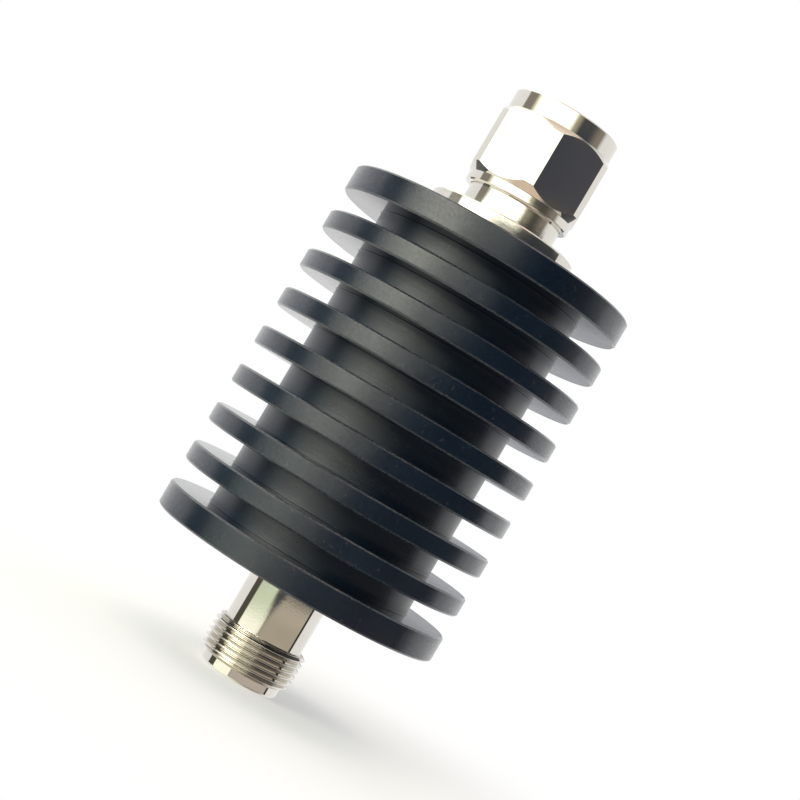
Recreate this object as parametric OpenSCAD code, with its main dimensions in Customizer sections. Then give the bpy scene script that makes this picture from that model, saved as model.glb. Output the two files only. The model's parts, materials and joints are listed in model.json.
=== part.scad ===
// In-line coaxial fixed attenuator: a finned, turned heat sink with a threaded
// jack at the bottom end and a plug with a free-turning coupling nut at the top.
// The axis is +Z, the jack's end face lies on z = 0, and sizes are millimetres.

/* [Heat sink] */
// Outside diameter of the discs
sink_d = 50; // [46:0.5:60]
// Diameter of the core between the discs
core_d = 36; // [32:0.5:40]
// Thickness of the two end discs
end_disc_t = 4.3; // [3:0.1:6]
// Thickness of each inner fin
fin_t = 3.2; // [2.5:0.1:4]
// Clear gap between neighbouring discs
fin_gap = 3.85; // [3:0.05:5]
// Number of inner fins
fin_count = 7; // [6:1:9]
// Edge break on the rims of the discs
disc_edge = 0.3; // [0.1:0.05:0.5]
// Bore that takes the carrier and the plug's shank
sink_bore_d = 22; // [21:0.5:24]
// Wall left at the jack end of the bore
end_wall_t = 4.5; // [3:0.1:6]

/* [Jack] */
// Diameter of the smooth barrel and of the plain tip
jack_barrel_d = 13.5; // [12.5:0.1:14]
// Length of bare barrel between the heat sink and the thread
jack_smooth_len = 9.8; // [6:0.1:14]
// Outside diameter of the thread, 5/8 inch
jack_thread_d = 15.875; // [15.8:0.005:15.9]
// Length of the thread with both its chamfers
jack_thread_len = 6.4; // [5:0.1:9]
// Length of the chamfer at the thread's leading end
thread_lead = 0.9; // [0.5:0.1:1.2]
// Length of the chamfer at the thread's back end
thread_runout = 0.6; // [0.4:0.1:1.2]
// Length of the plain tip in front of the thread
jack_tip_len = 1.5; // [1:0.1:3]
// Bore of the jack's mouth
jack_mouth_d = 8.1; // [8.03:0.01:8.2]
// Depth of the mouth to the reference shoulder
jack_mouth_depth = 9.1; // [8.5:0.1:9.5]
// Thickness of the shoulder that seats inside the heat sink
jack_shoulder_t = 4; // [3:0.5:6]
// Set-back of the jack's insulator behind the reference shoulder
jack_bead_set = 0.5; // [0.2:0.1:1.5]

/* [Plug body] */
// Diameter of the round flange
flange_d = 25.5; // [24:0.1:30]
// Thickness of the round flange
flange_t = 3.6; // [2.5:0.1:5]
// Diameter of the neck that the nut turns on
neck_d = 16.3; // [16.1:0.05:16.4]
// Bare neck between the flange and the nut
neck_gap = 3.7; // [2:0.1:6]
// Length of the shank that screws into the heat sink
plug_shank_len = 9; // [6:0.5:12]
// Outside diameter of the outer contact
ferrule_d = 8; // [7.8:0.01:8.02]
// Reach of the outer contact in front of its seat
ferrule_len = 10.2; // [9.6:0.1:10.4]
// Diameter of the outer contact's root
ferrule_root_d = 9.4; // [9:0.1:11]
// Depth of the outer contact's root in the body
ferrule_root_len = 4; // [3:0.1:6]
// Number of slots in the outer contact
ferrule_slots = 4; // [2:1:6]
// Width of each slot in the outer contact
ferrule_slot_w = 0.4; // [0.2:0.05:0.6]
// Length of each slot in the outer contact
ferrule_slot_len = 6; // [4:0.5:8]
// Outside diameter of the sealing gasket
gasket_d = 15.2; // [14:0.1:15.4]
// Thickness of the sealing gasket
gasket_t = 1.5; // [1:0.1:2]

/* [Coupling nut] */
// Length of the nut
nut_len = 16.6; // [15.8:0.1:20]
// Distance across the wrench flats
nut_af = 19.05; // [18.9:0.05:20]
// Diameter of the turned blank that cuts the hexagon's corners
nut_blank_d = 21; // [20.6:0.1:21.6]
// Diameter of the round collars at both ends
nut_collar_d = 18.6; // [18.2:0.1:18.8]
// Length of the rear collar
nut_rear_len = 1.55; // [1:0.05:1.8]
// Length of the front collar
nut_front_len = 3.2; // [2:0.1:4]
// Rake of the cones: rise along the axis for each unit of radius
nut_cone_rise = 1.04; // [0.8:0.02:1.2]
// Depth of the outer contact's front below the nut's front
nut_lip = 0.9; // [0.4:0.1:1.1]
// Widening of the thread's mouth
nut_mouth = 0.6; // [0.3:0.1:0.8]
// Turn of the nut about its axis at rest
nut_turn = 28.6; // [0:0.1:60]

/* [Retaining ring] */
// Distance from the nut's rear face to the ring
ring_set = 2.4; // [2:0.1:2.8]
// Width of the ring along the axis
ring_w = 1.1; // [0.8:0.1:1.4]
// Inside diameter of the ring, where it sits in the neck's groove
ring_in_d = 14.5; // [14:0.1:15]
// Outside diameter of the ring
ring_out_d = 17.5; // [17.2:0.1:17.6]
// Opening in the ring
ring_split = 2; // [1:0.1:4]

/* [Line] */
// Inside diameter of the outer conductor
line_d = 7; // [6.8:0.05:7.2]
// Diameter of the centre conductors
centre_d = 3.04; // [2.9:0.01:3.2]
// Length of each insulating bead
bead_len = 6; // [4:0.5:8]
// Diameter of the centre conductor inside its bead
bead_hole_d = 2; // [1.6:0.1:2.4]
// Diameter of the conductors' tails on the chip
tail_d = 1; // [0.6:0.1:1.4]
// Diameter of the plug's pin
pin_d = 1.64; // [1.6:0.01:1.68]
// Length of the pin in front of its shoulder
pin_len = 4.3; // [3.8:0.1:4.6]
// Depth of the pin's shoulder below the outer contact's front
pin_set = 5.5; // [5.3:0.1:5.8]
// Length of the pin's tapered point
pin_point = 1; // [0.5:0.1:1.5]
// Diameter of the flat at the pin's point
pin_point_d = 0.7; // [0.4:0.1:1]
// Reach of the socket contact in front of the reference shoulder
socket_reach = 5; // [4.7:0.1:5.2]
// Bore of the socket contact
socket_d = 1.7; // [1.69:0.01:1.8]
// Depth of the socket contact's bore
socket_depth = 5; // [4.7:0.1:6]
// Number of slots in the socket contact
socket_slots = 4; // [2:1:6]
// Width of each slot in the socket contact
socket_slot_w = 0.3; // [0.15:0.05:0.4]
// Length of each slot in the socket contact
socket_slot_len = 4; // [3:0.5:4.5]

/* [Attenuator chip] */
// Length of the ceramic chip along the axis
chip_l = 12; // [10:0.5:16]
// Width of the ceramic chip
chip_w = 9; // [7.5:0.5:11]
// Thickness of the ceramic chip
chip_t = 1; // [0.6:0.1:1.4]
// Length of each connecting tab
tab_l = 4; // [3:0.5:5]
// Stretch of each tab that lies on the chip
tab_lap = 2.5; // [1.5:0.5:2.5]
// Width of each connecting tab
tab_w = 2; // [1.2:0.1:3]
// Thickness of each connecting tab
tab_t = 0.15; // [0.1:0.05:0.3]
// Thickness of the ceramic cover over the resistor film
cover_t = 1; // [0.6:0.1:1.5]
// Width of the ceramic cover
cover_w = 7; // [5:0.5:7.5]
// Free film between the ceramic cover and each tab
cover_gap = 0.5; // [0.3:0.1:1]

/* [Carrier] */
// Room in the carrier's pocket round the chip
pocket_room = 0.6; // [0.3:0.1:1]
// Height of the pocket in the upper half above the axis
pocket_h = 3.2; // [2.5:0.1:4]
// Distance of each screw from the axis
screw_x = 6.6; // [6:0.1:7.6]
// Distance of each screw from the middle of the chip
screw_z = 15; // [13:0.5:17]
// Diameter of the screws
screw_d = 2.5; // [2:0.1:3]
// Diameter of the screw heads
screw_head_d = 4.5; // [4:0.1:4.8]
// Height of the screw heads
screw_head_h = 2; // [1.5:0.1:2.2]
// Height of the screw heads' seat above the axis
screw_seat = 4; // [3.5:0.1:4.4]
// Reach of the screws below the axis
screw_reach = 5; // [4:0.5:6]
// Width of the hexagon in the screw heads
screw_key_af = 2; // [1.5:0.1:2.2]

/* [Fits] */
// Radial clearance between the nut and the neck
run_clear = 0.07; // [0.02:0.01:0.1]
// Clearance between the nut and the retaining ring, all round
ring_clear = 0.12; // [0.05:0.01:0.15]
// Radial clearance of the nut's thread over the jack's thread
thread_clear = 0.06; // [0.03:0.01:0.1]
// Radial clearance of a piece that slides into a bore
slide_clear = 0.04; // [0.02:0.01:0.08]
// Clearance of the insulating beads, all round
bead_clear = 0.02; // [0.01:0.01:0.05]
// Small edge break on the turned pieces
edge_break = 0.25; // [0.1:0.05:0.4]

/* [Hidden] */
$fn = 96;

// Overshoot that carries a cut clear of the face it starts from
past = 1;

black_anodised = "#1d1e22";
nickel = "#cdc8bc";
gold = "#d2ab57";
white_bronze = "#c2bfb6";
bead_white = "#f0efea";
gasket_red = "#9c3f2c";
spring_bronze = "#b98a52";
bare_aluminium = "#b9bbbd";
screw_steel = "#8e9094";
ceramic_white = "#e9e6dc";
silver = "#d8d8d6";

// Radii
sink_r = sink_d / 2;
core_r = core_d / 2;
sink_bore_r = sink_bore_d / 2;
jack_barrel_r = jack_barrel_d / 2;
jack_thread_r = jack_thread_d / 2;
jack_mouth_r = jack_mouth_d / 2;
flange_r = flange_d / 2;
neck_r = neck_d / 2;
ferrule_r = ferrule_d / 2;
ferrule_root_r = ferrule_root_d / 2;
line_r = line_d / 2;
centre_r = centre_d / 2;
bead_hole_r = bead_hole_d / 2;
tail_r = tail_d / 2;
nut_blank_r = nut_blank_d / 2;
nut_collar_r = nut_collar_d / 2;
nut_thread_r = jack_thread_r + thread_clear;
insert_r = sink_bore_r - slide_clear;

// Levels from the jack's end face upwards
thread_top = jack_tip_len + jack_thread_len;
sink_z = thread_top + jack_smooth_len;
sink_len = 2 * end_disc_t + fin_count * fin_t + (fin_count + 1) * fin_gap;
sink_top = sink_z + sink_len;
wall_top = sink_z + end_wall_t;
shoulder_top = wall_top + jack_shoulder_t;
shank_z = sink_top - plug_shank_len;
flange_top = sink_top + flange_t;
nut_rear = flange_top + neck_gap;
nut_front = nut_rear + nut_len;
ferrule_front = nut_front - nut_lip;
seat_z = ferrule_front - ferrule_len;
root_z = seat_z - ferrule_root_len;
ring_z = nut_rear + ring_set;
nut_step_z = seat_z + edge_break;
pin_shoulder_z = ferrule_front - pin_set;
pin_tip_z = pin_shoulder_z + pin_len;
socket_face_z = jack_mouth_depth - socket_reach;
jack_bead_z = jack_mouth_depth + jack_bead_set;
plug_bead_z = root_z - bead_len;

// Chip and carrier levels
carrier_len = shank_z - shoulder_top;
chip_mid = (shank_z + shoulder_top) / 2;
chip_z = chip_mid - chip_l / 2;
chip_end = chip_mid + chip_l / 2;
lower_tab_z = chip_z + tab_lap - tab_l;
upper_tab_z = chip_end - tab_lap;
tab_y = -tail_r - tab_t;
chip_y = tab_y - chip_t;
pocket_w = chip_w + 2 * pocket_room;
pocket_len = chip_l + 2 * pocket_room;
cover_l = chip_l - 2 * tab_lap - 2 * cover_gap;

function disc_t(i) = i == 0 || i == fin_count + 1 ? end_disc_t : fin_t;
function disc_z(i) = i == 0 ? sink_z : sink_z + end_disc_t + fin_gap + (i - 1) * (fin_t + fin_gap);

// Half section of a centre conductor from the edge of its face to the end of its tail
function rod_section(face, bead_near, bead_far, back, tail_end) = [
    [centre_r, face],
    [centre_r, bead_near], [bead_hole_r - bead_clear, bead_near],
    [bead_hole_r - bead_clear, bead_far], [centre_r, bead_far],
    [centre_r, back], [tail_r, back], [tail_r, tail_end], [0, tail_end]
];

module round_bar(r, z0, z1) translate([0, 0, z0]) cylinder(r = r, h = z1 - z0);

module tube(r_out, r_in, z0, z1) {
    difference() {
        round_bar(r_out, z0, z1);
        round_bar(r_in, z0 - past, z1 + past);
    }
}

module edged_disc(r, z0, t, edge) {
    translate([0, 0, z0])
        rotate_extrude()
            polygon([[0, 0], [r - edge, 0], [r, edge], [r, t - edge], [r - edge, t], [0, t]]);
}

// Equal radial slots across a sleeve, from z0 to z1
module radial_slots(count, w, r, z0, z1) {
    for (i = [0:count - 1])
        rotate([0, 0, i * 360 / count])
            translate([0, -w / 2, z0])
                cube([r + past, w, z1 - z0]);
}

// A block centred on X and running along the axis
module flat_block(w, y0, t, z0, l) translate([-w / 2, y0, z0]) cube([w, t, l]);

module heat_sink() {
    color(black_anodised)
    difference() {
        union() {
            round_bar(core_r, sink_z, sink_top);
            for (i = [0:fin_count + 1]) edged_disc(sink_r, disc_z(i), disc_t(i), disc_edge);
        }
        round_bar(sink_bore_r, wall_top, sink_top + past);
        round_bar(jack_barrel_r + slide_clear, sink_z - past, wall_top + past);
    }
}

module jack_body() {
    color(nickel)
    rotate_extrude()
        polygon([
            [jack_mouth_r + edge_break, 0],
            [jack_barrel_r - edge_break, 0], [jack_barrel_r, edge_break],
            [jack_barrel_r, jack_tip_len],
            [jack_thread_r, jack_tip_len + thread_lead],
            [jack_thread_r, thread_top - thread_runout],
            [jack_barrel_r, thread_top],
            [jack_barrel_r, wall_top], [insert_r, wall_top],
            [insert_r, shoulder_top], [line_r, shoulder_top],
            [line_r, jack_mouth_depth], [jack_mouth_r, jack_mouth_depth],
            [jack_mouth_r, edge_break]
        ]);
}

module jack_insulator() {
    color(bead_white)
    tube(line_r - bead_clear, bead_hole_r, jack_bead_z, jack_bead_z + bead_len);
}

module jack_contact() {
    color(gold)
    difference() {
        rotate_extrude()
            polygon(concat(
                [[0, socket_face_z]],
                rod_section(socket_face_z, jack_bead_z - bead_clear,
                    jack_bead_z + bead_len + bead_clear, lower_tab_z, chip_z + tab_lap)
            ));
        round_bar(socket_d / 2, socket_face_z - past, socket_face_z + socket_depth);
        radial_slots(socket_slots, socket_slot_w, centre_r,
            socket_face_z - past, socket_face_z + socket_slot_len);
    }
}

module plug_body() {
    color(nickel)
    difference() {
        union() {
            round_bar(insert_r, shank_z, sink_top);
            edged_disc(flange_r, sink_top, flange_t, edge_break);
            edged_disc(neck_r, sink_top, seat_z - sink_top, edge_break);
        }
        round_bar(line_r, shank_z - past, root_z + past);
        round_bar(ferrule_root_r, root_z, seat_z + past);
        tube(neck_r + past, ring_in_d / 2, ring_z, ring_z + ring_w);
    }
}

module plug_outer_contact() {
    color(white_bronze)
    difference() {
        rotate_extrude()
            polygon([
                [line_r, root_z], [ferrule_root_r - slide_clear, root_z],
                [ferrule_root_r - slide_clear, seat_z], [ferrule_r, seat_z],
                [ferrule_r, ferrule_front - edge_break], [ferrule_r - edge_break, ferrule_front],
                [line_r, ferrule_front]
            ]);
        radial_slots(ferrule_slots, ferrule_slot_w, ferrule_r,
            ferrule_front - ferrule_slot_len, ferrule_front + past);
    }
}

module plug_insulator() {
    color(bead_white)
    tube(line_r - bead_clear, bead_hole_r, plug_bead_z, plug_bead_z + bead_len);
}

module plug_pin() {
    color(gold)
    rotate_extrude()
        polygon(concat(
            [[0, pin_tip_z], [pin_point_d / 2, pin_tip_z],
                [pin_d / 2, pin_tip_z - pin_point], [pin_d / 2, pin_shoulder_z]],
            rod_section(pin_shoulder_z, plug_bead_z + bead_len + bead_clear,
                plug_bead_z - bead_clear, upper_tab_z + tab_l, upper_tab_z)
        ));
}

module plug_gasket() {
    color(gasket_red)
    tube(gasket_d / 2, ferrule_r + slide_clear, seat_z, seat_z + gasket_t);
}

// Turned outline of the nut: collar, cone, blank, cone, collar
module nut_blank() {
    cone_h = (nut_blank_r - nut_collar_r) * nut_cone_rise;
    rotate_extrude()
        polygon([
            [0, nut_rear], [nut_collar_r - edge_break, nut_rear],
            [nut_collar_r, nut_rear + edge_break], [nut_collar_r, nut_rear + nut_rear_len],
            [nut_blank_r, nut_rear + nut_rear_len + cone_h],
            [nut_blank_r, nut_front - nut_front_len - cone_h],
            [nut_collar_r, nut_front - nut_front_len],
            [nut_collar_r, nut_front - edge_break], [nut_collar_r - edge_break, nut_front],
            [0, nut_front]
        ]);
}

// Hollow of the nut: running bore, ring groove, thread and widened mouth
module nut_hollow() {
    run_r = neck_r + run_clear;
    groove_r = ring_out_d / 2 + ring_clear;
    round_bar(run_r, nut_rear - past, nut_step_z);
    round_bar(groove_r, ring_z - ring_clear, ring_z + ring_w + ring_clear);
    rotate_extrude()
        polygon([
            [0, nut_step_z - past], [nut_thread_r, nut_step_z - past],
            [nut_thread_r, nut_front - nut_mouth], [nut_thread_r + nut_mouth, nut_front],
            [nut_thread_r + nut_mouth, nut_front + past], [0, nut_front + past]
        ]);
}

module coupling_nut() {
    hex_r = nut_af / 2 / cos(30);
    color(nickel)
    difference() {
        intersection() {
            nut_blank();
            rotate([0, 0, nut_turn])
                translate([0, 0, nut_rear - past])
                    cylinder(r = hex_r, h = nut_len + 2 * past, $fn = 6);
        }
        nut_hollow();
    }
}

module retaining_ring() {
    color(spring_bronze)
    difference() {
        tube(ring_out_d / 2, ring_in_d / 2, ring_z, ring_z + ring_w);
        translate([0, -ring_split / 2, ring_z - past])
            cube([ring_out_d, ring_split, ring_w + 2 * past]);
    }
}

// One half of the round carrier: side 1 is above the axis, side -1 below it
module carrier_half(side) {
    intersection() {
        round_bar(insert_r, shoulder_top, shank_z);
        translate([-sink_bore_r, side > 0 ? 0 : -sink_bore_r, shoulder_top])
            cube([sink_bore_d, sink_bore_r, carrier_len]);
    }
}

module each_screw() {
    for (x = [-screw_x, screw_x])
        for (z = [chip_mid - screw_z, chip_mid + screw_z])
            translate([x, 0, z])
                rotate([-90, 0, 0])
                    children();
}

module carrier_base() {
    color(bare_aluminium)
    difference() {
        carrier_half(-1);
        round_bar(line_r, shoulder_top - past, chip_mid - pocket_len / 2);
        round_bar(line_r, chip_mid + pocket_len / 2, shank_z + past);
        flat_block(pocket_w, chip_y, past - chip_y, chip_mid - pocket_len / 2, pocket_len);
        each_screw() round_bar(screw_d / 2, -screw_reach, past);
    }
}

module carrier_cover() {
    color(bare_aluminium)
    difference() {
        carrier_half(1);
        round_bar(line_r, shoulder_top - past, shank_z + past);
        flat_block(pocket_w, -past, pocket_h + past, chip_mid - pocket_len / 2, pocket_len);
        each_screw() {
            round_bar(screw_d / 2, -past, screw_seat + past);
            round_bar(screw_head_d / 2 + slide_clear, screw_seat, sink_bore_r);
        }
    }
}

module carrier_screws() {
    key_depth = screw_head_h / 2;
    color(screw_steel)
    each_screw() difference() {
        union() {
            round_bar(screw_d / 2 - slide_clear, -screw_reach, screw_seat);
            edged_disc(screw_head_d / 2, screw_seat, screw_head_h, edge_break);
        }
        translate([0, 0, screw_seat + screw_head_h - key_depth])
            cylinder(r = screw_key_af / 2 / cos(30), h = key_depth + past, $fn = 6);
    }
}

module attenuator_chip() {
    color(ceramic_white)
    flat_block(chip_w, chip_y, chip_t, chip_z, chip_l);
}

module chip_cover() {
    color(ceramic_white)
    flat_block(cover_w, tab_y, cover_t, chip_mid - cover_l / 2, cover_l);
}

module input_tab() {
    color(silver)
    flat_block(tab_w, tab_y, tab_t, upper_tab_z, tab_l);
}

module output_tab() {
    color(silver)
    flat_block(tab_w, tab_y, tab_t, lower_tab_z, tab_l);
}

heat_sink();
plug_body();
plug_outer_contact();
plug_insulator();
plug_pin();
plug_gasket();
coupling_nut();
retaining_ring();
jack_body();
jack_insulator();
jack_contact();
carrier_base();
carrier_cover();
carrier_screws();
attenuator_chip();
chip_cover();
input_tab();
output_tab();
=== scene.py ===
# Looks of a finned in-line coaxial attenuator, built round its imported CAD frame
import json
import math

import bmesh
import bpy
from mathutils import Matrix, Vector

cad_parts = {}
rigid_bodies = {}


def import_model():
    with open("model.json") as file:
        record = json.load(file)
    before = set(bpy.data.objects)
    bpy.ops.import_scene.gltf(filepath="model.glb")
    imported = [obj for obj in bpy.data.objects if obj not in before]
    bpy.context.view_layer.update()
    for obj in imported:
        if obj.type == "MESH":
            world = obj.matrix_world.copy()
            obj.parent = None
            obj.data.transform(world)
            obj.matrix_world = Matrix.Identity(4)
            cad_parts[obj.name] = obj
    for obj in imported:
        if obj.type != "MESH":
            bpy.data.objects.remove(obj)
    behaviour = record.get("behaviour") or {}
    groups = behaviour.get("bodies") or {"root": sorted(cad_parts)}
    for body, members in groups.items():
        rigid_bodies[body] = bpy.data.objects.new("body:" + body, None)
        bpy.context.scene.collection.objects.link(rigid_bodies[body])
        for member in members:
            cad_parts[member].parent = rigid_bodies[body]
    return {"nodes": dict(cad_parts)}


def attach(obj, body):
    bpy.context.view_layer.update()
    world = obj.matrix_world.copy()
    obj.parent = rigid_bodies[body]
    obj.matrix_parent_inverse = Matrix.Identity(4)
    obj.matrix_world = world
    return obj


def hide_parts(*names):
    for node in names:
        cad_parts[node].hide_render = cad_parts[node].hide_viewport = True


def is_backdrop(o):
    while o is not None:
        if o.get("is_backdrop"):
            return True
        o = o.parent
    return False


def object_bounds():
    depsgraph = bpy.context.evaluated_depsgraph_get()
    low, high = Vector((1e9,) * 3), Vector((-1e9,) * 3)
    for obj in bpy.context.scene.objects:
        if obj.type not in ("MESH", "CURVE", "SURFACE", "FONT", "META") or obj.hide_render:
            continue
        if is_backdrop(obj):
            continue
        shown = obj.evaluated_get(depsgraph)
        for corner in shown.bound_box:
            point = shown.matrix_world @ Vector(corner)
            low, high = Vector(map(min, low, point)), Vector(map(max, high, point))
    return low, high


for leftover in list(bpy.data.objects):
    bpy.data.objects.remove(leftover)

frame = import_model()
cad_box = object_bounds()
nodes = frame["nodes"]

MM = 0.001

# Sizes of the turned pieces in millimetres, the same as the part's own
SINK_R, CORE_R, BORE_R = 25.0, 18.0, 11.0
SINK_Z, SINK_TOP = 17.7, 79.5
END_DISC, FIN, GAP, FINS, DISC_EDGE = 4.3, 3.2, 3.85, 7, 0.3
BARREL_R, WALL_TOP, SHOULDER_TOP, INSERT_R = 6.75, 22.2, 26.2, 10.96
LINE_R, MOUTH_R, MOUTH_DEPTH = 3.5, 4.05, 9.1
THREAD_R, THREAD_LOW, THREAD_HIGH, THREAD_LEAD, THREAD_RUNOUT = 7.9375, 1.5, 7.9, 0.9, 0.6
PITCH, THREAD_DEPTH = 25.4 / 24, 0.649
FLANGE_R, FLANGE_TOP, NECK_R, SHANK_Z = 12.75, 83.1, 8.15, 70.5
SEAT_Z, ROOT_Z, ROOT_R = 92.3, 88.3, 4.7
RING_Z, RING_W, RING_IN_R = 89.2, 1.1, 7.25
NUT_REAR, NUT_FRONT, COLLAR_R, FLAT_R, BLANK_R = 86.8, 103.4, 9.3, 9.525, 10.5
CONE_RISE, REAR_COLLAR, FRONT_COLLAR, NUT_TURN = 1.04, 1.55, 3.2, 28.6
RUN_R, GROOVE_R, NUT_THREAD_R, NUT_STEP_Z, NUT_MOUTH = 8.22, 8.87, 7.9975, 92.55, 0.6
EDGE = 0.25
BARREL_FIT, RING_CLEAR, BEAD_FIT = 0.04, 0.12, 0.02
BEAD_HOLE_R, BEAD_LENGTH, JACK_BEAD_Z, PLUG_BEAD_Z = 1.0, 6.0, 9.6, 82.3
PIN_NOSE_R, PIN_R, STEM_R, WAIST_R, TAIL_R = 0.35, 0.82, 1.52, 0.98, 0.5
PIN_TOP, PIN_TAPER, STEM_TOP, STEM_END, TAIL_END = 101.3, 1.0, 97.0, 55.85, 51.85
GASKET_R, GASKET_IN_R, GASKET_THICK = 7.6, 4.04, 1.5
NUT_THREAD_Z, NUT_CREST_R, NUT_LEAD = 94.0, 7.42, 0.5

# Radii of the edges in millimetres
CRISP, BROKEN, EASY, ROUND = 0.04, 0.05, 0.06, 0.08
FIN_ROOT, NECK_ROOT, PIN_NOSE, PIN_SHOULDER, GASKET_EDGE = 0.1, 0.12, 0.12, 0.2, 0.3

# A rounded corner: its steps, the flats held beside it, its share of the shorter side, and what that spares
CORNER_STEPS, CORNER_HOLD, CORNER_SHARE, CORNER_SPARE = 3, 0.025, 0.42, 0.004

# Threads: rows of points along one turn, spare rows, steps round, and in millimetres the small step of the
# last turn, how far a sleeve's back lies in its wall, and how far the last turn stands off that wall
ROWS_PER_TURN, SPARE_ROWS, THREAD_STEPS = 16, 4, 192
SHELF_DROP, THREAD_SINK, JACK_SHELF, NUT_SHELF = 0.1, 0.05, 0.7, 0.12

# Flat of a thread's crest as a share of half a pitch, and what keeps whole steps from rounding down
CREST_FLAT, ROUND_OFF = 0.125, 0.0001

# Floor and camera, in metres and degrees
FLOOR_R, FLOOR_DROP, FLOOR_SIDES = 0.9, 0.0001, 96
LENS, SENSOR, NEAR_CLIP, CAMERA_ROLL = 77.76, 36, 0.01, 30.63
CAMERA_PLACE, CAMERA_AIM = (0, -0.27616, 0.04374), (-0.00021, 0, 0.05094)


class Field:
    """A socket in a node tree that takes part in Python expressions."""

    def __init__(self, tree, socket=None):
        self.tree = tree
        self.socket = socket

    @staticmethod
    def pick(sockets, key):
        """The socket with this identifier, or else with this name or number."""
        named = [s for s in sockets if s.identifier == key]
        return named[0] if named else sockets[key]

    def node(self, kind, settings=None, inputs=None, out=0):
        """Adds a node: its settings first, then the values or links of its sockets."""
        made = self.tree.nodes.new(kind)
        for name, value in (settings or {}).items():
            setattr(made, name, value)
        for key, value in (inputs or {}).items():
            socket = self.pick(made.inputs, key)
            if isinstance(value, Field):
                self.tree.links.new(value.socket, socket)
            else:
                socket.default_value = value
        return Field(self.tree, self.pick(made.outputs, out) if made.outputs else None)

    def other(self, out):
        """Another output of the node that this socket belongs to."""
        return Field(self.tree, self.pick(self.socket.node.outputs, out))

    def math(self, operation, *values):
        """A Math node on these values."""
        values = dict(enumerate(values))
        return self.node("ShaderNodeMath", {"operation": operation}, values)

    def __add__(self, value):
        return self.math("ADD", self, value)

    def __radd__(self, value):
        return self.math("ADD", value, self)

    def __sub__(self, value):
        return self.math("SUBTRACT", self, value)

    def __rsub__(self, value):
        return self.math("SUBTRACT", value, self)

    def __mul__(self, value):
        return self.math("MULTIPLY", self, value)

    def __rmul__(self, value):
        return self.math("MULTIPLY", value, self)

    def __truediv__(self, value):
        return self.math("DIVIDE", self, value)

    def __lt__(self, value):
        return self.math("LESS_THAN", self, value)

    def __gt__(self, value):
        return self.math("GREATER_THAN", self, value)

    def rise(self, low, high):
        """0 below low, 1 above high, smooth between."""
        limits = {"Value": self, "From Min": low, "From Max": high}
        return self.node("ShaderNodeMapRange", {"interpolation_type": "SMOOTHSTEP"}, limits)

    def blend(self, a, b):
        """The colour a where this is 0 and b where it is 1."""
        colours = {"Factor_Float": self, "A_Color": a, "B_Color": b}
        return self.node("ShaderNodeMix", {"data_type": "RGBA"}, colours, "Result_Color")


# Outlines of turned pieces, as (radius, height) in millimetres


def eased(corners):
    """Rounds each (radius, height, rounding) corner and holds the flats on both sides of it."""
    points = []
    count = len(corners)
    for i, (r, z, rounding) in enumerate(corners):
        here = Vector((r, z))
        if rounding == 0:
            points.append(here)
            continue
        before = Vector(corners[i - 1][:2]) - here
        after = Vector(corners[(i + 1) % count][:2]) - here
        room = CORNER_SHARE * min(before.length, after.length)
        half = before.angle(after) / 2
        reach = min(rounding / math.tan(half), room - CORNER_SPARE)
        grip = min(reach + CORNER_HOLD, room)
        before.normalize()
        after.normalize()
        start, end = here + before * reach, here + after * reach
        points.append(here + before * grip)
        for k in range(CORNER_STEPS + 1):
            t = k / CORNER_STEPS
            points.append(start * (1 - t) ** 2 + here * 2 * t * (1 - t) + end * t**2)
        points.append(here + after * grip)
    return points


def heat_sink_outline():
    corners = [(BARREL_R + BARREL_FIT, SINK_Z, BROKEN)]
    start = SINK_Z
    for i in range(FINS + 2):
        thick = END_DISC if i in (0, FINS + 1) else FIN
        low, high = start, start + thick
        if i > 0:
            corners.append((CORE_R, low, FIN_ROOT))
        corners += [
            (SINK_R - DISC_EDGE, low, EASY),
            (SINK_R, low + DISC_EDGE, EASY),
            (SINK_R, high - DISC_EDGE, EASY),
            (SINK_R - DISC_EDGE, high, EASY),
        ]
        if i <= FINS:
            corners.append((CORE_R, high, FIN_ROOT))
        start = high + GAP
    corners += [(BORE_R, SINK_TOP, BROKEN), (BORE_R, WALL_TOP, BROKEN)]
    corners.append((BARREL_R + BARREL_FIT, WALL_TOP, BROKEN))
    return eased(corners)


def jack_body_outline():
    return eased([
        (MOUTH_R + EDGE, 0, BROKEN),
        (BARREL_R - EDGE, 0, EASY),
        (BARREL_R, EDGE, EASY),
        (BARREL_R, WALL_TOP, BROKEN),
        (INSERT_R, WALL_TOP, BROKEN),
        (INSERT_R, SHOULDER_TOP, BROKEN),
        (LINE_R, SHOULDER_TOP, BROKEN),
        (LINE_R, MOUTH_DEPTH, CRISP),
        (MOUTH_R, MOUTH_DEPTH, CRISP),
        (MOUTH_R, EDGE, BROKEN),
    ])


def plug_body_outline():
    return eased([
        (LINE_R, SHANK_Z, BROKEN),
        (INSERT_R, SHANK_Z, BROKEN),
        (INSERT_R, SINK_TOP, BROKEN),
        (FLANGE_R - EDGE, SINK_TOP, BROKEN),
        (FLANGE_R, SINK_TOP + EDGE, EASY),
        (FLANGE_R, FLANGE_TOP - EDGE, EASY),
        (FLANGE_R - EDGE, FLANGE_TOP, BROKEN),
        (NECK_R, FLANGE_TOP, NECK_ROOT),
        (NECK_R, RING_Z, CRISP),
        (RING_IN_R, RING_Z, CRISP),
        (RING_IN_R, RING_Z + RING_W, CRISP),
        (NECK_R, RING_Z + RING_W, CRISP),
        (NECK_R, SEAT_Z - EDGE, BROKEN),
        (NECK_R - EDGE, SEAT_Z, BROKEN),
        (ROOT_R, SEAT_Z, CRISP),
        (ROOT_R, ROOT_Z, CRISP),
        (LINE_R, ROOT_Z, CRISP),
    ])


def tube_outline(outer, inner, low, high, rounding):
    return eased([
        (inner, low, rounding),
        (outer, low, rounding),
        (outer, high, rounding),
        (inner, high, rounding),
    ])


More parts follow.
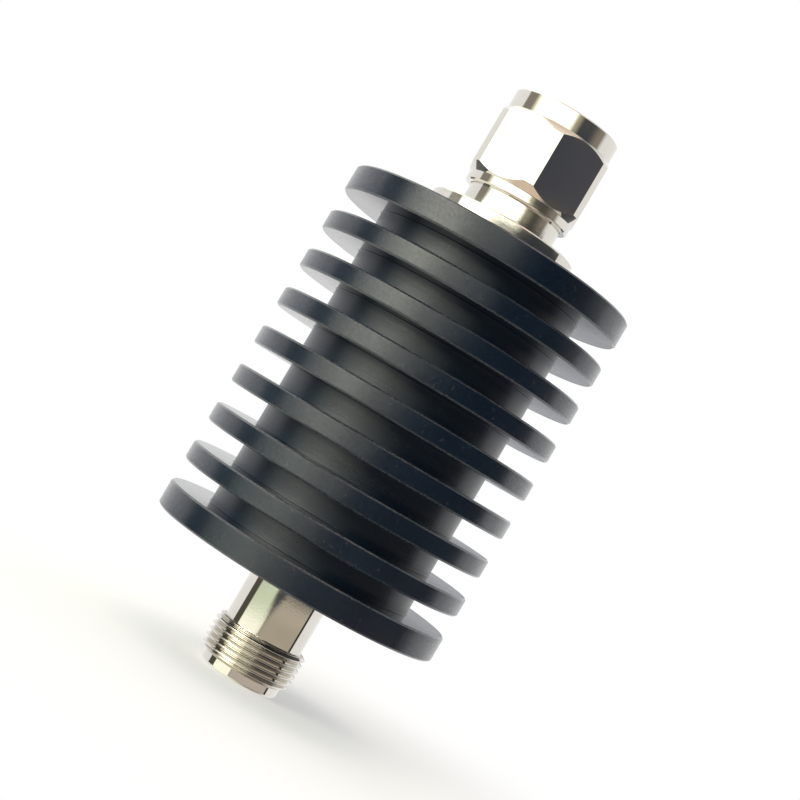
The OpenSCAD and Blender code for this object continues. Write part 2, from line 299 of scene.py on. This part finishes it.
def bead_outline(low):
    return tube_outline(LINE_R - BEAD_FIT, BEAD_HOLE_R, low, low + BEAD_LENGTH, ROUND)


def gasket_outline():
    return tube_outline(GASKET_R, GASKET_IN_R, SEAT_Z, SEAT_Z + GASKET_THICK, GASKET_EDGE)


def plug_pin_outline():
    waist_end = PLUG_BEAD_Z - BEAD_FIT
    waist_top = PLUG_BEAD_Z + BEAD_LENGTH + BEAD_FIT
    return eased([
        (0, PIN_TOP, 0),
        (PIN_NOSE_R, PIN_TOP, PIN_NOSE),
        (PIN_R, PIN_TOP - PIN_TAPER, PIN_SHOULDER),
        (PIN_R, STEM_TOP, CRISP),
        (STEM_R, STEM_TOP, ROUND),
        (STEM_R, waist_top, CRISP),
        (WAIST_R, waist_top, CRISP),
        (WAIST_R, waist_end, CRISP),
        (STEM_R, waist_end, CRISP),
        (STEM_R, STEM_END, ROUND),
        (TAIL_R, STEM_END, CRISP),
        (TAIL_R, TAIL_END, ROUND),
        (0, TAIL_END, 0),
    ])


# Geometry node trees


def new_tree(name, **inputs):
    """A geometry tree with named inputs, and the Field that its inputs come from."""
    tree = bpy.data.node_groups.new(name, "GeometryNodeTree")
    for label, kind in inputs.items():
        label = label.replace("_", " ").capitalize()
        tree.interface.new_socket(label, in_out="INPUT", socket_type="NodeSocket" + kind)
    tree.interface.new_socket("Piece", in_out="OUTPUT", socket_type="NodeSocketGeometry")
    return tree, Field(tree).node("NodeGroupInput")


def grid_rows(given, steps, rows):
    """A grid of rows round the axis, with the step and the row of each of its points."""
    grid = given.node("GeometryNodeMeshGrid", {}, {"Vertices X": steps + 1, "Vertices Y": rows})
    index = given.node("GeometryNodeInputIndex")
    share = index / rows + ROUND_OFF
    step = share.math("FLOOR", share)
    return grid, step, index - step * rows


def close_tree(given, grid, radius, angle, height):
    """Bends the grid round the axis, welds it and gives it its finish."""
    place = given.node("ShaderNodeCombineXYZ", {}, {
        "X": radius * angle.math("COSINE", angle),
        "Y": radius * angle.math("SINE", angle),
        "Z": height,
    })
    bent = given.node("GeometryNodeSetPosition", {}, {"Geometry": grid, "Position": place})
    welded = given.node("GeometryNodeMergeByDistance", {}, {"Geometry": bent, "Distance": 1e-6})
    smooth = given.node("GeometryNodeSetShadeSmooth", {}, {0: welded})
    real = given.node("GeometryNodeRealizeInstances", {}, {0: smooth})
    finish = {"Geometry": real, "Material": given.other("Finish")}
    done = given.node("GeometryNodeSetMaterial", {}, finish)
    given.node("NodeGroupOutput", {}, {0: done})


def turned_tree():
    """Turns an outline of points round the axis."""
    tree, given = new_tree("turned piece", outline="Geometry", steps="Int", finish="Material")
    outline, steps = given.other("Outline"), given.other("Steps")
    rows = given.node("GeometryNodeAttributeDomainSize", {}, {"Geometry": outline}, "Point Count")
    grid, step, row = grid_rows(given, steps, rows)
    place = given.node("GeometryNodeInputPosition")
    sampled = given.node(
        "GeometryNodeSampleIndex",
        {"data_type": "FLOAT_VECTOR", "domain": "POINT"},
        {"Geometry": outline, "Value": place, "Index": row},
    )
    point = given.node("ShaderNodeSeparateXYZ", {}, {0: sampled})
    close_tree(given, grid, point.other("X"), step / steps * math.tau, point.other("Z"))
    return tree


def thread_tree():
    """A closed sleeve whose face carries a helical thread, outside for side 1 and inside for side -1."""
    tree, given = new_tree(
        "screw thread", blank="Geometry", steps="Int", rows="Int", pitch="Float", low="Float",
        high="Float", crest="Float", root="Float", edge="Float", back="Float", lead_in="Float",
        run_out="Float", shelf="Float", shelf_drop="Float", side="Float", finish="Material",
    )
    steps, rows, pitch = given.other("Steps"), given.other("Rows"), given.other("Pitch")
    low, high, side = given.other("Low"), given.other("High"), given.other("Side")
    crest, root = given.other("Crest"), given.other("Root")
    edge, back = given.other("Edge"), given.other("Back")
    grid, step, row = grid_rows(given, steps, rows)
    angle = step / steps * math.tau
    turn = row / ROWS_PER_TURN
    free = low - pitch + turn * pitch + pitch * step / steps
    height = free.math("MINIMUM", free.math("MAXIMUM", free, low), high)
    off_crest = (turn.math("FRACT", turn) - 0.5) * 2
    off_crest = off_crest.math("ABSOLUTE", off_crest)
    slope = off_crest.node("ShaderNodeMapRange", {}, {
        "Value": off_crest, "From Min": CREST_FLAT, "From Max": 1 - CREST_FLAT,
    })
    flank = crest + (root - crest) * slope
    first = edge + (height - low) / given.other("Lead in") * (crest - edge)
    shelf, drop = given.other("Shelf"), given.other("Shelf drop")
    below = high - height
    ledge = edge + below / drop * (shelf - edge)
    last = shelf + (below - drop) / (given.other("Run out") - drop) * (crest - shelf)
    reach = side * flank
    reach = reach.math("MINIMUM", reach, side * first)
    reach = reach.math("MINIMUM", reach, side * ledge)
    reach = side * reach.math("MINIMUM", reach, side * last)
    out_of_turn = (free < low - 1e-7) + (free > high + 1e-7)
    closing = row > rows - 1.5
    hidden = out_of_turn.math("MAXIMUM", out_of_turn, closing)
    hidden = hidden.math("MINIMUM", hidden, 1.0)
    radius = reach + (back - reach) * hidden
    close_tree(given, grid, radius, angle, height + (low - height) * closing)
    return tree


def settle(piece):
    """Turns what the modifiers make into the piece's own plain mesh, closed and facing outwards."""
    seen = piece.evaluated_get(bpy.context.evaluated_depsgraph_get())
    mesh = bpy.data.meshes.new_from_object(seen)
    piece.modifiers.clear()
    piece.data = mesh
    shell = bmesh.new()
    shell.from_mesh(mesh)
    bmesh.ops.recalc_face_normals(shell, faces=shell.faces)
    shell.to_mesh(mesh)
    shell.free()
    mesh.shade_smooth()
    mesh.name = piece.name
    return piece


def node_piece(name, mesh, tree, **values):
    """An object that a geometry tree shapes, made a plain mesh."""
    piece = bpy.data.objects.new(name, mesh)
    bpy.context.scene.collection.objects.link(piece)
    modifier = piece.modifiers.new("shape", "NODES")
    modifier.node_group = tree
    for label, value in values.items():
        label = label.replace("_", " ").capitalize()
        modifier[tree.interface.items_tree[label].identifier] = value
    return settle(piece)


def turned(name, outline, finish, steps):
    """A piece turned from its outline, which closes on itself or on the axis."""
    points = [(p.x * MM, 0, p.y * MM) for p in outline]
    if points[0][0] > 0:
        points.append(points[0])
    mesh = bpy.data.meshes.new(name + "_outline")
    mesh.from_pydata(points, [(i, i + 1) for i in range(len(points) - 1)], [])
    return node_piece(name, mesh, TURNED, steps=steps, finish=finish)


def threaded(name, low, high, crest, root, edge, back, lead_in, run_out, shelf, side, finish):
    """A thread's sleeve from its sizes in millimetres."""
    rows = math.ceil((high - low + PITCH) / PITCH * ROWS_PER_TURN) + SPARE_ROWS
    mesh = bpy.data.meshes.new(name + "_blank")
    return node_piece(
        name, mesh, THREAD, steps=THREAD_STEPS, rows=rows, pitch=PITCH * MM, low=low * MM,
        high=high * MM, crest=crest * MM, root=root * MM, edge=edge * MM, back=back * MM,
        lead_in=lead_in * MM, run_out=run_out * MM, shelf=shelf * MM, shelf_drop=SHELF_DROP * MM,
        side=float(side), finish=finish,
    )


def nut_wall(offset):
    """Outer radius of the nut at an angle from the middle of a flat: flat, then the turned corner."""
    flat = FLAT_R / math.cos(offset)
    soft = 0.02
    share = min(1, max(0, 0.5 + 0.5 * (BLANK_R - flat) / soft))
    return BLANK_R + (flat - BLANK_R) * share - soft * share * (1 - share)


def coupling_nut(finish):
    """The hexagon nut, column by column round the axis, so that its cones meet the flats exactly."""
    corner = math.degrees(math.acos(FLAT_R / BLANK_R))
    # Degrees from the middle of a flat, closest together where the flat meets the turned corner
    near = [corner + d for d in (-0.7, -0.3, -0.2, -0.1, 0, 0.1, 0.2, 0.3, 0.7)]
    half = [i * 1.5 for i in range(1, 16)] + near + [corner + 1.8, corner + 3, corner + 4.1]
    offsets = [-a for a in reversed(half)] + [0] + half + [30]
    columns = []
    for side in range(6):
        for offset in offsets:
            wall = nut_wall(math.radians(offset))
            cone = (wall - COLLAR_R) * CONE_RISE
            rear, front = NUT_REAR + REAR_COLLAR, NUT_FRONT - FRONT_COLLAR
            ring_low, ring_high = RING_Z - RING_CLEAR, RING_Z + RING_W + RING_CLEAR
            outline = eased([
                (RUN_R, NUT_REAR, EASY),
                (COLLAR_R - EDGE, NUT_REAR, EASY),
                (COLLAR_R, NUT_REAR + EDGE, EASY),
                (COLLAR_R, rear, BROKEN),
                (wall, rear + cone, EASY),
                (wall, front - cone, EASY),
                (COLLAR_R, front, BROKEN),
                (COLLAR_R, NUT_FRONT - EDGE, EASY),
                (COLLAR_R - EDGE, NUT_FRONT, BROKEN),
                (NUT_THREAD_R + NUT_MOUTH, NUT_FRONT, BROKEN),
                (NUT_THREAD_R, NUT_FRONT - NUT_MOUTH, BROKEN),
                (NUT_THREAD_R, NUT_STEP_Z, CRISP),
                (RUN_R, NUT_STEP_Z, CRISP),
                (RUN_R, ring_high, CRISP),
                (GROOVE_R, ring_high, CRISP),
                (GROOVE_R, ring_low, CRISP),
                (RUN_R, ring_low, CRISP),
            ])
            angle = math.radians(NUT_TURN + 30 + 60 * side + offset)
            turn = math.cos(angle) * MM, math.sin(angle) * MM
            columns.append([(p.x * turn[0], p.x * turn[1], p.y * MM) for p in outline])
    rows, count = len(columns[0]), len(columns)
    faces = []
    for c in range(count):
        a, b = c * rows, (c + 1) % count * rows
        for k in range(rows):
            n = (k + 1) % rows
            faces.append((a + k, b + k, b + n, a + n))
    mesh = bpy.data.meshes.new("hexagon_nut")
    mesh.from_pydata([p for column in columns for p in column], [], faces)
    mesh.materials.append(finish)
    piece = bpy.data.objects.new("hexagon_nut", mesh)
    bpy.context.scene.collection.objects.link(piece)
    return settle(piece)


# Finishes


def surface(name):
    """A new material with its shader, its Object coordinates and the radius from the axis."""
    material = bpy.data.materials.new(name)
    material.use_nodes = True
    tree = material.node_tree
    shader = tree.nodes["Principled BSDF"]
    place = Field(tree).node("ShaderNodeTexCoord", {}, {}, "Object")
    parts = place.node("ShaderNodeSeparateXYZ", {}, {0: place})
    x, y = parts.other("X"), parts.other("Y")
    spread = x * x + y * y
    return material, shader, place, parts.other("Z"), spread.math("SQRT", spread)


def feed(shader, **inputs):
    """Sets or links the shader's own sockets."""
    for label, value in inputs.items():
        socket = shader.inputs[label.replace("_", " ")]
        if isinstance(value, Field):
            value.tree.links.new(value.socket, socket)
        else:
            socket.default_value = value


def cloud(place, scale, detail):
    """Soft noise with this many grains in a metre."""
    values = {"Vector": place, "Scale": scale, "Detail": detail}
    return place.node("ShaderNodeTexNoise", {}, values)


def tool_lines(height, radius, scale):
    """Fine lines that a cutting tool leaves round the axis, on barrels and on faces alike."""
    along = height + radius * 1.37
    values = {"W": along, "Scale": scale}
    return along.node("ShaderNodeTexNoise", {"noise_dimensions": "1D"}, values)


def bumped(height, depth):
    """A bump of this depth in metres."""
    return height.node("ShaderNodeBump", {}, {"Height": height, "Distance": depth})


def black_anodised():
    """Black anodised aluminium: rims with a thin film; a duller core whose bluer base is a painted
    reflection; edges a little worn, lighter in dots that are partly a painted highlight; some dust.
    """
    material, shader, place, height, radius = surface("black_anodised")
    lines = tool_lines(height, radius, 5200)
    grain = cloud(place, 5200, 1.0)
    broad = cloud(place, 130, 3.0)
    peel = cloud(place, 1900, 2.0)
    # Rims, core and broken edges, told apart by radius and height
    on_rim = radius.rise((SINK_R - DISC_EDGE) * MM, (SINK_R - 0.05) * MM)
    on_core = 1 - radius.rise((CORE_R + 0.05) * MM, (CORE_R + 0.3) * MM)
    on_core = on_core * (height > (SINK_Z + 1) * MM) * (height < (SINK_TOP - 1) * MM)
    edge = radius.rise((SINK_R - DISC_EDGE - 0.06) * MM, (SINK_R - DISC_EDGE) * MM)
    edge = edge * (1 - radius.rise((SINK_R - 0.06) * MM, (SINK_R - 0.01) * MM))
    # The chamfer edges lighter in dots: partly wear, partly a painted highlight where the bevel catches
    # light
    wear_and_edge_highlight = edge * grain.rise(0.42, 0.62)
    dust = cloud(place, 1500, 0.0).rise(0.74, 0.82) * 0.5
    film = (cloud(place, 2300, 1.0) * 0.6 + broad * 0.4).rise(0.38, 0.62)
    tone = (broad * 0.5 + peel * 0.5).rise(0.3, 0.7)
    tone = tone.blend((0.0007, 0.0048, 0.0122, 1), (0.0028, 0.0088, 0.0190, 1))
    # Painted reflection: the core's base is bluer and lighter than the rims', standing in for bluish light
    # reflected into the shaded core
    tone = (on_core * 0.6).blend(tone, (0.0020, 0.0140, 0.0330, 1))
    # Painted edge highlight and wear: lighter grey dots on the chamfers
    tone = (wear_and_edge_highlight * 0.4).blend(tone, (0.10, 0.102, 0.105, 1))
    feed(
        shader,
        Base_Color=dust.blend(tone, (0.03, 0.031, 0.034, 1)),
        Roughness=0.08 + 0.12 * on_core + 0.06 * on_rim + 0.07 * lines + 0.06 * broad + 0.06 * peel,
        Normal=bumped(lines * (0.3 + 0.4 * on_core) + grain * 0.3 + peel * 0.4, 0.000012),
        Coat_Weight=(0.2 + 0.26 * film) * (1 - on_core),
        Coat_Roughness=0.2,
        IOR=1.51,
    )
    return material


def nickel_plate():
    """Bright nickel: fine tool lines, a pitted flange and painted shade in the roots of the thread."""
    material, shader, place, height, radius = surface("nickel_plate")
    lines = tool_lines(height, radius, 6500)
    peel = cloud(place, 2600, 1.0)
    smear = cloud(place, 170, 3.0)
    on_flange = radius.rise((FLANGE_R - 0.4) * MM, (FLANGE_R - 0.1) * MM)
    pits = cloud(place, 4200, 1.0).rise(0.5, 0.7) * on_flange * 0.35
    # Painted shade: the roots of the jack's thread are darker and browner
    root = 1 - radius.rise((THREAD_R - THREAD_DEPTH) * MM, (THREAD_R - THREAD_DEPTH + 0.3) * MM)
    root = root * (radius > (BARREL_R + 0.1) * MM) * (height < THREAD_HIGH * MM)
    tone = smear.rise(0.3, 0.7).blend((0.70, 0.672, 0.61, 1), (0.745, 0.715, 0.655, 1))
    tone = (root * 0.6).blend(tone, (0.30, 0.255, 0.19, 1))
    feed(
        shader,
        Base_Color=pits.blend(tone, (0.36, 0.345, 0.31, 1)),
        Roughness=0.02 + 0.02 * lines + 0.04 * smear,
        Normal=bumped((lines * 0.15 + peel * 0.85) * (0.15 - 0.08 * on_flange), 0.000006),
        Metallic=1.0,
    )
    return material


def plated(name, low, high, rough):
    """A plated or bare turned metal: two close tones, tool lines and a little tarnish."""
    material, shader, place, height, radius = surface(name)
    lines = tool_lines(height, radius, 5200)
    tarnish = cloud(place, 260, 3.0)
    feed(
        shader,
        Base_Color=tarnish.rise(0.3, 0.7).blend((*low, 1), (*high, 1)),
        Roughness=rough + 0.08 * lines + 0.1 * tarnish,
        Normal=bumped(lines, 0.000005),
        Metallic=1.0,
    )
    return material


def brushed_aluminium():
    """Bare aluminium with strokes along the axis."""
    material, shader, place, *_ = surface("bare_aluminium")
    stretch = place.node("ShaderNodeMapping", {}, {"Vector": place, "Scale": (1, 1, 0.06)})
    strokes = cloud(stretch, 3600, 2.0)
    broad = cloud(place, 140, 2.0)
    feed(
        shader,
        Base_Color=broad.rise(0.3, 0.7).blend((0.60, 0.605, 0.615, 1), (0.70, 0.705, 0.71, 1)),
        Roughness=0.26 + 0.16 * strokes,
        Normal=bumped(strokes, 0.000006),
        Metallic=1.0,
    )
    return material


def dull(name, low, high, rough, grain_scale, depth):
    """A matt plastic, rubber or ceramic: a fine grain and a soft change of tone."""
    material, shader, place, *_ = surface(name)
    grain = cloud(place, grain_scale, 2.0)
    broad = cloud(place, 300, 2.0)
    feed(
        shader,
        Base_Color=(broad * 0.7 + grain * 0.3).rise(0.35, 0.65).blend((*low, 1), (*high, 1)),
        Roughness=rough + 0.12 * grain,
        Normal=bumped(grain, depth),
    )
    return material


BLACK = black_anodised()
NICKEL = nickel_plate()
WHITE_BRONZE = plated("white_bronze_plate", (0.58, 0.56, 0.52), (0.66, 0.64, 0.60), 0.16)
GOLD = plated("gold_plate", (0.83, 0.58, 0.22), (0.90, 0.66, 0.29), 0.12)
BRONZE = plated("spring_bronze", (0.52, 0.33, 0.15), (0.62, 0.41, 0.20), 0.22)
STEEL = plated("screw_steel", (0.42, 0.43, 0.45), (0.52, 0.53, 0.55), 0.24)
SILVER = plated("silver_plate", (0.80, 0.79, 0.76), (0.88, 0.87, 0.85), 0.18)
ALUMINIUM = brushed_aluminium()
BEAD = dull("bead_plastic", (0.76, 0.76, 0.74), (0.82, 0.82, 0.80), 0.38, 2600, 0.000006)
RUBBER = dull("gasket_rubber", (0.24, 0.045, 0.025), (0.31, 0.062, 0.035), 0.5, 3400, 0.00001)
CERAMIC = dull("chip_ceramic", (0.74, 0.72, 0.66), (0.81, 0.79, 0.73), 0.45, 4200, 0.000006)


# Pieces

TURNED = turned_tree()
THREAD = thread_tree()


def stand_for(piece, body, slot, *replaced):
    """Sets the body that a piece rides on and hides the nodes that it replaces; its material slot is not
    used.
    """
    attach(piece, body)
    if replaced:
        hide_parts(*replaced)


sink = turned("finned_heat_sink", heat_sink_outline(), BLACK, 256)
stand_for(sink, "attenuator", "black_anodised", "heat_sink")

jack = turned("jack_shell", jack_body_outline(), NICKEL, 192)
stand_for(jack, "attenuator", "nickel_plate", "jack_body")

plug = turned("plug_shell", plug_body_outline(), NICKEL, 224)
stand_for(plug, "attenuator", "nickel_plate", "plug_body")

jack_bead = turned("jack_bead", bead_outline(JACK_BEAD_Z), BEAD, 96)
stand_for(jack_bead, "attenuator", "bead_plastic", "jack_insulator")

plug_bead = turned("plug_bead", bead_outline(PLUG_BEAD_Z), BEAD, 96)
stand_for(plug_bead, "attenuator", "bead_plastic", "plug_insulator")

pin = turned("centre_pin", plug_pin_outline(), GOLD, 96)
stand_for(pin, "attenuator", "gold_plate", "plug_pin")

gasket = turned("seal_ring", gasket_outline(), RUBBER, 160)
stand_for(gasket, "attenuator", "gasket_rubber", "plug_gasket")

jack_thread = threaded(
    "jack_thread", THREAD_LOW, THREAD_HIGH, THREAD_R, THREAD_R - THREAD_DEPTH, BARREL_R,
    BARREL_R - THREAD_SINK, THREAD_LEAD, THREAD_RUNOUT, BARREL_R + JACK_SHELF, 1, NICKEL,
)
stand_for(jack_thread, "attenuator", "nickel_plate")

nut = coupling_nut(NICKEL)
stand_for(nut, "nut", "nickel_plate", "coupling_nut")

nut_thread = threaded(
    "nut_thread", NUT_THREAD_Z, NUT_FRONT - NUT_MOUTH, NUT_CREST_R, NUT_THREAD_R, NUT_THREAD_R,
    NUT_THREAD_R + THREAD_SINK, NUT_LEAD, NUT_LEAD, NUT_THREAD_R - NUT_SHELF, -1, NICKEL,
)
stand_for(nut_thread, "nut", "nickel_plate")

for name, finish in {
    "plug_outer_contact": WHITE_BRONZE,
    "jack_contact": GOLD,
    "retaining_ring": BRONZE,
    "carrier_base": ALUMINIUM,
    "carrier_cover": ALUMINIUM,
    "carrier_screws": STEEL,
    "attenuator_chip": CERAMIC,
    "chip_cover": CERAMIC,
    "input_tab": SILVER,
    "output_tab": SILVER,
}.items():
    for slot in nodes[name].material_slots:
        slot.material = finish

# Floor, light and camera


def pale_floor():
    """A pale floor that takes the part's shadow close by and goes over to plain white further out."""
    disc = bmesh.new()
    bmesh.ops.create_circle(disc, cap_ends=True, segments=FLOOR_SIDES, radius=FLOOR_R)
    mesh = bpy.data.meshes.new("floor")
    disc.to_mesh(mesh)
    disc.free()
    mesh.transform(Matrix.Translation((0, 0, -FLOOR_DROP)))
    floor = bpy.data.objects.new("floor", mesh)
    bpy.context.scene.collection.objects.link(floor)
    material, shader, place, _, radius = surface("floor_white")
    mottle = cloud(place, 40, 2.0)
    feed(
        shader,
        Base_Color=mottle.blend((0.93, 0.93, 0.925, 1), (0.96, 0.96, 0.955, 1)),
        Roughness=0.9,
    )
    tree = material.node_tree
    white = place.node("ShaderNodeEmission")
    far = 0.35 + 0.65 * radius.rise(0.02, 0.11)
    both = place.node("ShaderNodeMixShader", {}, {0: far, 1: Field(tree, shader.outputs[0]), 2: white})
    tree.links.new(both.socket, tree.nodes["Material Output"].inputs["Surface"])
    mesh.materials.append(material)
    floor.visible_glossy = False
    floor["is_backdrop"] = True


def studio_world():
    """A soft studio by direction: window on the left, dark and warm cards on the right, white behind."""
    world = bpy.data.worlds.new("studio")
    world.use_nodes = True
    bpy.context.scene.world = world
    tree = world.node_tree
    way = Field(tree).node("ShaderNodeTexCoord", {}, {}, "Generated")
    parts = way.node("ShaderNodeSeparateXYZ", {}, {0: way})
    x, y, z = parts, parts.other("Y"), parts.other("Z")
    degrees = 180 / math.pi
    around = x.math("ARCTAN2", x, 0 - y) * degrees
    up = z.math("ARCSINE", z) * degrees
    level = up.math("ABSOLUTE", up)
    # Degrees above the horizon that the part's walls mirror: the jack below -5.8, rims and core up to 7,
    # the top disc and the flange up to 8.4, the neck up to 9.1, and the nut above that
    near_top = up.rise(6.9, 7.2)
    at_flange = up.rise(7.6, 7.8)
    high_up = up.rise(8.42, 8.62)
    at_nut = up.rise(9.05, 9.2)
    far_up = up.rise(9.45, 9.65)
    middle = up.rise(-5.8, -5.0) * (1 - at_flange)
    bulge = up.rise(-8.2, -7.4) * (1 - up.rise(-7.0, -6.2))
    # Degrees round from the front at which the window fades and ends, for each of those walls
    window_fade = high_up * 42 - at_flange * 22 + near_top * 16 - middle * 12 + bulge * 12 - 28
    window_end = high_up * 57 + at_flange + near_top * 12 - at_nut * 18
    window_end = window_end + middle * 30 + bulge * 12 - 20
    window_half = (window_fade + window_end) * 0.5
    left_edge = around.rise(-81 - high_up, -77 + 15 * high_up)
    warm_from = -6.0 - 1.1 * (1 - around.rise(-25, 12))
    warm = 1 - (up - warm_from).rise(-0.3, 0.3)
    white_from = around.rise(82, 100) * high_up
    line = around.rise(90, 92.5) * (1 - high_up)
    right_end = around.rise(98 + 9 * middle, 101 + 9 * middle)
    backdrop = 1 - around.rise(-104, -100) * (1 - right_end)
    backdrop = backdrop.math("MAXIMUM", backdrop, white_from)
    top = up.rise(22, 34)
    under = 1 - up.rise(-55, -30)
    # A dark room on the right and a warm card low in front
    dark = high_up.blend((0.042, 0.050, 0.062, 1), (0.11, 0.099, 0.078, 1))
    dark = far_up.blend(dark, (0.044, 0.053, 0.080, 1))
    dark = up.rise(11.7, 12.2).blend(dark, (0.083, 0.087, 0.088, 1))
    beige = up.rise(-9, -7.4).blend((0.60, 0.53, 0.48, 1), (0.50, 0.45, 0.36, 1))
    beige = up.rise(-6.9, -6.4).blend(beige, (0.64, 0.57, 0.47, 1))
    gap_shade = up.rise(-30, -24) * (1 - up.rise(-13, -10.5))
    beige = gap_shade.blend(beige, (0.05, 0.06, 0.08, 1))
    room = warm.blend(dark, beige)
    room = (around.rise(52, 80) * high_up).blend(room, (0.30, 0.265, 0.225, 1))
    room = line.blend(room, (0.05, 0.045, 0.04, 1))
    # The window, brighter upwards and dimmer at its far left, with a band of sky high up
    bright = up.rise(-7, 9).blend((0.80, 0.98, 0.88, 1), (4.4, 4.3, 3.6, 1))
    bright = near_top.blend(bright, (8.6, 8.4, 7.2, 1))
    dimmed = up.rise(-7, 9).blend((0.34, 0.46, 0.45, 1), (1.75, 1.8, 1.6, 1))
    bright = around.rise(-82, -42).blend(dimmed, bright)
    bright = up.rise(8.2, 9.4).blend(bright, (2.0, 2.05, 1.75, 1))
    upper = up.rise(12.8, 15) * around.rise(-85, -52) * (1 - around.rise(-52, -18))
    bright = upper.blend(bright, (14.0, 13.6, 11.5, 1))
    bright = up.rise(-6.2, -5).blend((0.72, 0.82, 0.60, 1), bright)
    bright = up.rise(-7.3, -6.7).blend((1.40, 1.40, 1.20, 1), bright)
    edge = middle.blend((0.46, 0.43, 0.31, 1), (1.15, 1.16, 0.95, 1))
    fringe = around.rise(window_fade, window_half).blend(bright, edge)
    room = around.rise(window_half, window_end).blend(fringe, room)
    # The dark frame left of the window, and the white backdrop
    left_dark = high_up.blend((0.095, 0.09, 0.07, 1), (0.30, 0.27, 0.23, 1))
    left_dark = middle.blend(left_dark, (0.24, 0.27, 0.27, 1))
    left_dark = (at_flange * (1 - high_up)).blend(left_dark, (0.42, 0.41, 0.37, 1))
    room = left_edge.blend(left_dark, room)
    room = backdrop.blend(room, (1.05, 1.05, 1.05, 1))
    # Soft light from above and from below
    above = x.rise(-0.3, 0.3).blend((1.5, 1.5, 1.4, 1), (0.9, 0.9, 0.9, 1))
    above = (x.rise(0.05, 0.3) * (1 - y.rise(0.1, 0.3))).blend(above, (0.25, 0.26, 0.28, 1))
    above = up.rise(62, 74).blend(above, (1.15, 0.98, 0.84, 1))
    room = top.blend(room, above)
    below = x.rise(-0.3, 0.3).blend((1.3, 1.3, 1.05, 1), (0.46, 0.42, 0.36, 1))
    room = under.blend(room, below)
    # The camera and clear or shiny pieces see plain white behind the part
    path = way.node("ShaderNodeLightPath", {}, {}, "Is Camera Ray")
    glossy = path.other("Is Glossy Ray")
    seen = path + path.other("Is Transmission Ray") + glossy * backdrop * (1 - top) * (1 - under)
    plain = seen.math("MINIMUM", seen, 1.0).blend(room, (1, 1, 1, 1))
    # A grey patch straight behind, which only reflections show
    shade = around.rise(166, 174) * (1 - level.rise(8, 12)) * glossy
    plain = shade.blend(plain, (0.50, 0.51, 0.54, 1))
    tree.links.new(plain.socket, tree.nodes["Background"].inputs["Color"])


def photo_camera():
    """The photograph's view: a long lens in front, rolled so that the part's axis leans right."""
    data = bpy.data.cameras.new("camera")
    data.sensor_width = SENSOR
    data.lens = LENS
    data.clip_start = NEAR_CLIP
    camera = bpy.data.objects.new("camera", data)
    bpy.context.scene.collection.objects.link(camera)
    place = Vector(CAMERA_PLACE)
    ahead = (Vector(CAMERA_AIM) - place).normalized()
    right = ahead.cross(Vector((0, 0, 1))).normalized()
    above = right.cross(ahead)
    roll = math.radians(CAMERA_ROLL)
    across = right * math.cos(roll) + above * math.sin(roll)
    upward = above * math.cos(roll) - right * math.sin(roll)
    turn = Matrix((across, upward, -ahead)).transposed().to_4x4()
    camera.matrix_world = Matrix.Translation(place) @ turn
    bpy.context.scene.camera = camera


pale_floor()
studio_world()
photo_camera()
bpy.context.scene.view_settings.view_transform = "Standard"

boxes = {"cad": cad_box, "visual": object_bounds()}
boxes = {key: [[round(c, 6) for c in corner] for corner in box] for key, box in boxes.items()}
